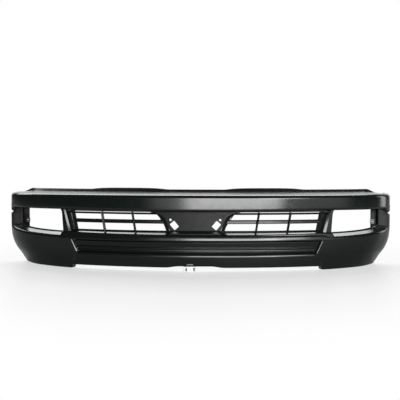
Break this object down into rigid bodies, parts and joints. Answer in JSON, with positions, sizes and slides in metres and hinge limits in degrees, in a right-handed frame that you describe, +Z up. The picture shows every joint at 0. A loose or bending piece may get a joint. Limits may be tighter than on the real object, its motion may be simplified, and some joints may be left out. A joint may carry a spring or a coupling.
{
  "type": "front bumper cover",
  "caption": "Black moulded front bumper cover with lamp openings, see-through grille inserts, a plate panel, a ribbed lower strip, an upper retainer strip and pull-out retainer pins.",
  "frame": {"origin": "on the floor, in the middle of the bounding box", "axes": "+X across the car, front faces -Y, +Z up"},
  "size_m": [1.8022, 0.512, 0.35],
  "materials": {
    "cover_plastic": "black satin, fine moulded grain",
    "strip_plastic": "black, dull",
    "grommet_plastic": "black nylon",
    "pin_plastic": "black nylon",
    "grille_plastic": "black satin",
    "plate_plastic": "dark satin",
    "rib_plastic": "black satin",
    "bracket_plastic": "black, dull",
    "dark_steel": "dark phosphated",
    "zinc_steel": "zinc plated",
    "white_nylon": "white, smooth"
  },
  "bodies": {
    "bumper": {"bumper_cover": "cover_plastic", "upper_retainer_strip": "strip_plastic", "left_inner_retainer_grommet": "grommet_plastic", "left_middle_retainer_grommet": "grommet_plastic", "left_outer_retainer_grommet": "grommet_plastic", "right_inner_retainer_grommet": "grommet_plastic", "right_middle_retainer_grommet": "grommet_plastic", "right_outer_retainer_grommet": "grommet_plastic", "left_grille_insert": "grille_plastic", "left_grille_insert_push_nut_1": "zinc_steel", "left_grille_insert_push_nut_2": "zinc_steel", "left_grille_insert_push_nut_3": "zinc_steel", "left_lamp_bracket": "bracket_plastic", "left_lamp_speed_nut": "dark_steel", "left_side_bracket": "bracket_plastic", "left_front_bracket_rivet": "zinc_steel", "left_rear_bracket_rivet": "zinc_steel", "right_grille_insert": "grille_plastic", "right_grille_insert_push_nut_1": "zinc_steel", "right_grille_insert_push_nut_2": "zinc_steel", "right_grille_insert_push_nut_3": "zinc_steel", "right_lamp_bracket": "bracket_plastic", "right_lamp_speed_nut": "dark_steel", "right_side_bracket": "bracket_plastic", "right_front_bracket_rivet": "zinc_steel", "right_rear_bracket_rivet": "zinc_steel", "plate_panel": "plate_plastic", "lower_rib_panel": "rib_plastic", "plate_panel_push_nut_1": "zinc_steel", "lower_rib_panel_push_nut_1": "zinc_steel", "plate_panel_push_nut_2": "zinc_steel", "lower_rib_panel_push_nut_2": "zinc_steel", "plate_panel_push_nut_3": "zinc_steel", "lower_rib_panel_push_nut_3": "zinc_steel", "plate_panel_push_nut_4": "zinc_steel", "lower_rib_panel_push_nut_4": "zinc_steel", "lower_lip_clip": "white_nylon"},
    "left_inner_retainer_pin": {"left_inner_retainer_pin": "pin_plastic"},
    "left_middle_retainer_pin": {"left_middle_retainer_pin": "pin_plastic"},
    "left_outer_retainer_pin": {"left_outer_retainer_pin": "pin_plastic"},
    "right_inner_retainer_pin": {"right_inner_retainer_pin": "pin_plastic"},
    "right_middle_retainer_pin": {"right_middle_retainer_pin": "pin_plastic"},
    "right_outer_retainer_pin": {"right_outer_retainer_pin": "pin_plastic"}
  },
  "joints": [
    {"name": "left_inner_pin_pull", "type": "slide", "parent": "bumper", "child": "left_inner_retainer_pin", "axis": [0.0768, 0.997, 0], "range_m": [0, 0.006]},
    {"name": "left_middle_pin_pull", "type": "slide", "parent": "bumper", "child": "left_middle_retainer_pin", "axis": [0.2433, 0.97, 0], "range_m": [0, 0.006]},
    {"name": "left_outer_pin_pull", "type": "slide", "parent": "bumper", "child": "left_outer_retainer_pin", "axis": [0.3969, 0.9179, 0], "range_m": [0, 0.006]},
    {"name": "right_inner_pin_pull", "type": "slide", "parent": "bumper", "child": "right_inner_retainer_pin", "axis": [-0.0768, 0.997, 0], "range_m": [0, 0.006]},
    {"name": "right_middle_pin_pull", "type": "slide", "parent": "bumper", "child": "right_middle_retainer_pin", "axis": [-0.2433, 0.97, 0], "range_m": [0, 0.006]},
    {"name": "right_outer_pin_pull", "type": "slide", "parent": "bumper", "child": "right_outer_retainer_pin", "axis": [-0.3969, 0.9179, 0], "range_m": [0, 0.006]}
  ]
}
